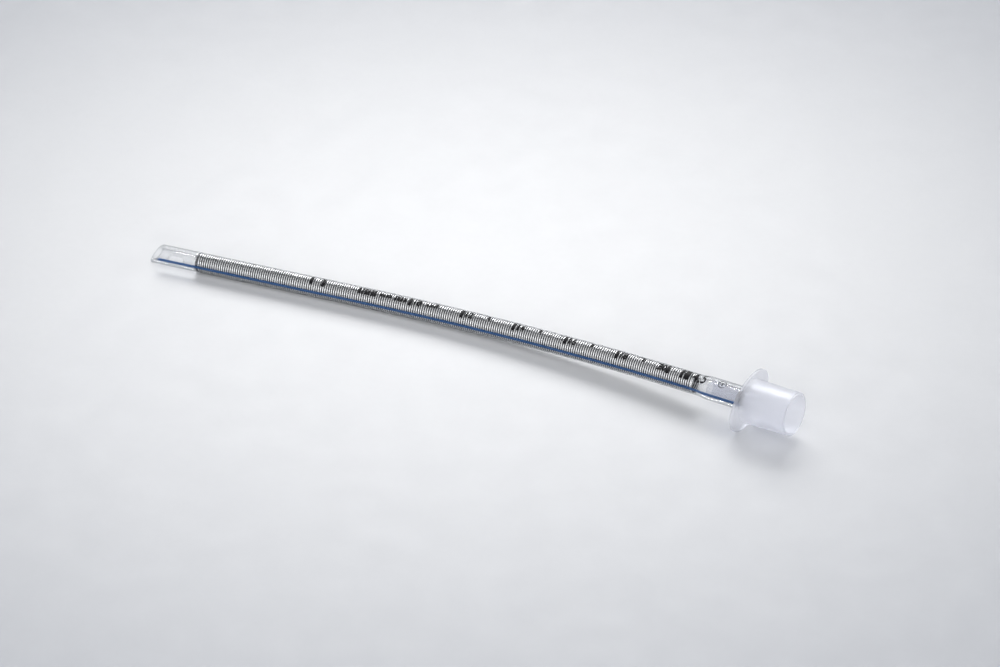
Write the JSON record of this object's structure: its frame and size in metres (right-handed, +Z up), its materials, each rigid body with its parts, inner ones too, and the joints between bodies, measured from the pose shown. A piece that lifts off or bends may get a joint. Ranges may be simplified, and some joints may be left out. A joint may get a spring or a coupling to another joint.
{
  "type": "endotracheal tube",
  "caption": "Clear uncuffed breathing tube with a bevelled tip and eye, a steel coil in its wall, a blue line and a flanged conical connector.",
  "frame": {"origin": "on the surface that the tube lies on, under the middle of its bounding box", "axes": "+X the way the connector's mouth points in plan, +Z up; the tube lies with its tip towards -X"},
  "size_m": [0.2486, 0.0473, 0.0172],
  "materials": {
    "clear_tube": "clear soft plastic, glossy",
    "steel_wire": "drawn bright steel wire",
    "blue_line": "dark blue plastic strip",
    "milky_moulding": "milky translucent moulded plastic"
  },
  "bodies": {
    "root": {"tube": "clear_tube", "wire_coil": "steel_wire", "radiopaque_line": "blue_line", "connector": "milky_moulding"}
  },
  "joints": []
}
